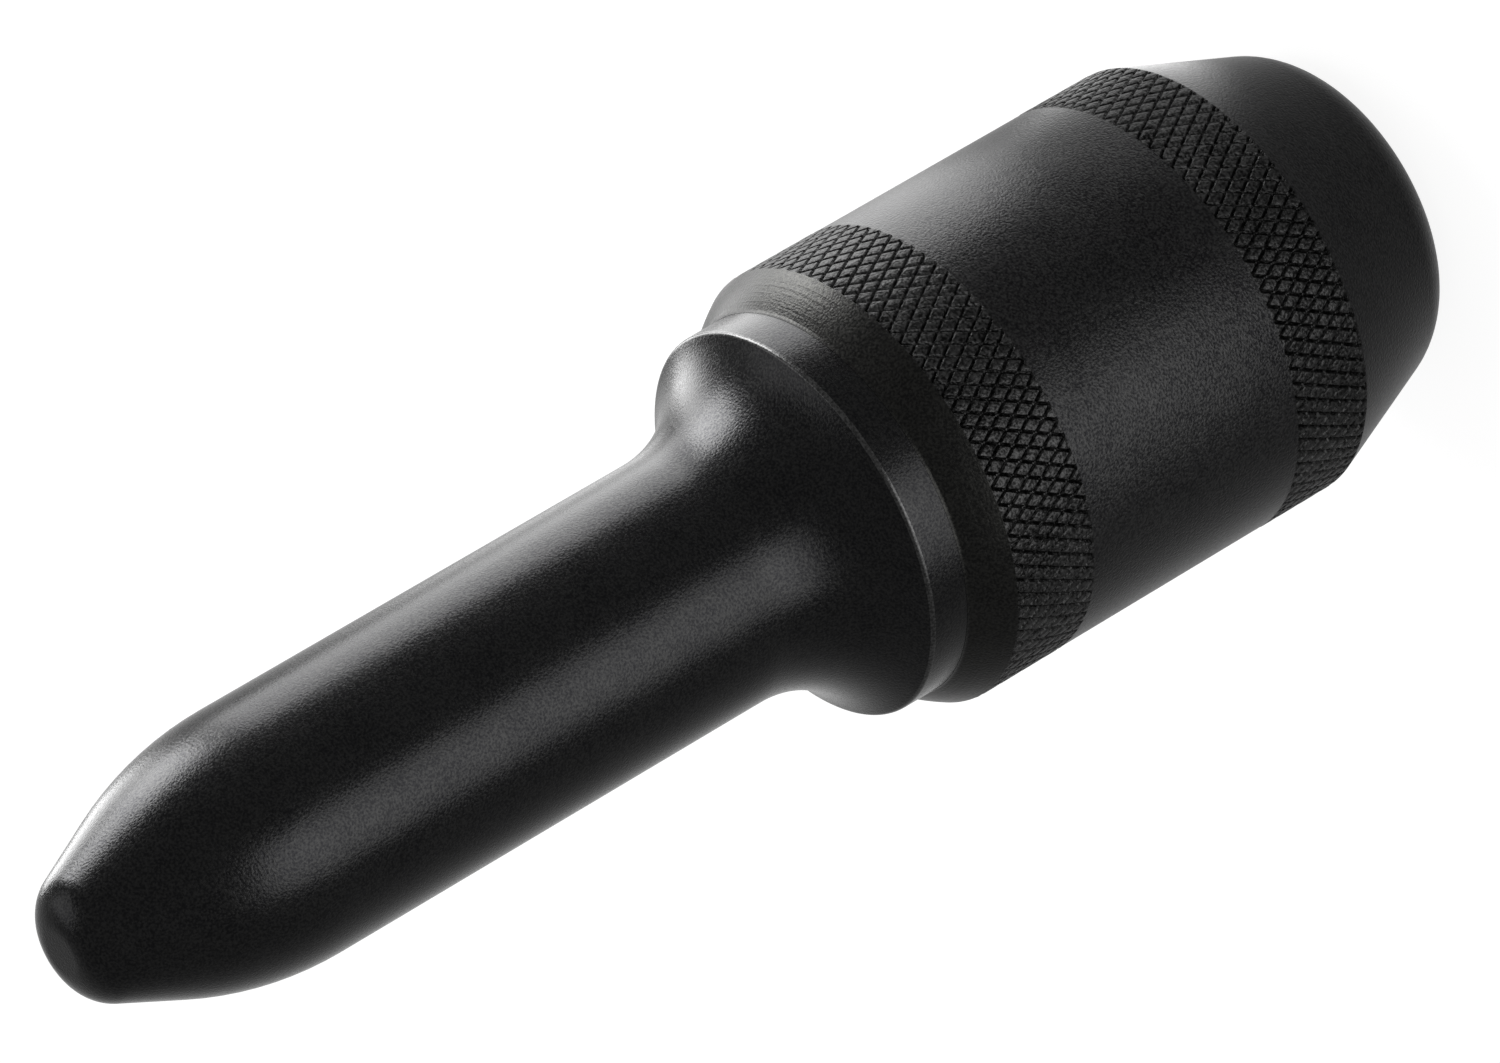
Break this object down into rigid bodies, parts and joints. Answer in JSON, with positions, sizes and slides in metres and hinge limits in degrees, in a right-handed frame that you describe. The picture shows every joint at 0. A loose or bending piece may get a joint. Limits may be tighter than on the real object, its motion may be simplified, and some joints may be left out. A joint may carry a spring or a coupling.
{
  "type": "flaring tool",
  "caption": "Hammer-driven flaring tool for soft copper tube: round nose, pilot and concave flare form on one mandrel, seated in a knurled striking handle with a tapered head.",
  "frame": {"origin": "centre of the flat striking face at the bottom end of the tool", "axes": "+Z runs along the tool's axis from the striking face to the nose; +X points from the axis towards the opening of the split ring inside the handle"},
  "size_m": [0.0446, 0.0446, 0.1534],
  "materials": {
    "ground_steel": "black oxide over fine turning, semi-gloss",
    "satin_steel": "black oxide, satin",
    "spring_steel": "drawn wire, oiled"
  },
  "bodies": {
    "handle": {"striking_handle": "satin_steel", "retaining_ring": "spring_steel"},
    "mandrel": {"flaring_mandrel": "ground_steel"}
  },
  "joints": [
    {"name": "mandrel_turn", "type": "hinge", "parent": "handle", "child": "mandrel", "pos_m": [0, 0, 0], "axis": [0, 0, 1], "continuous": true}
  ]
}
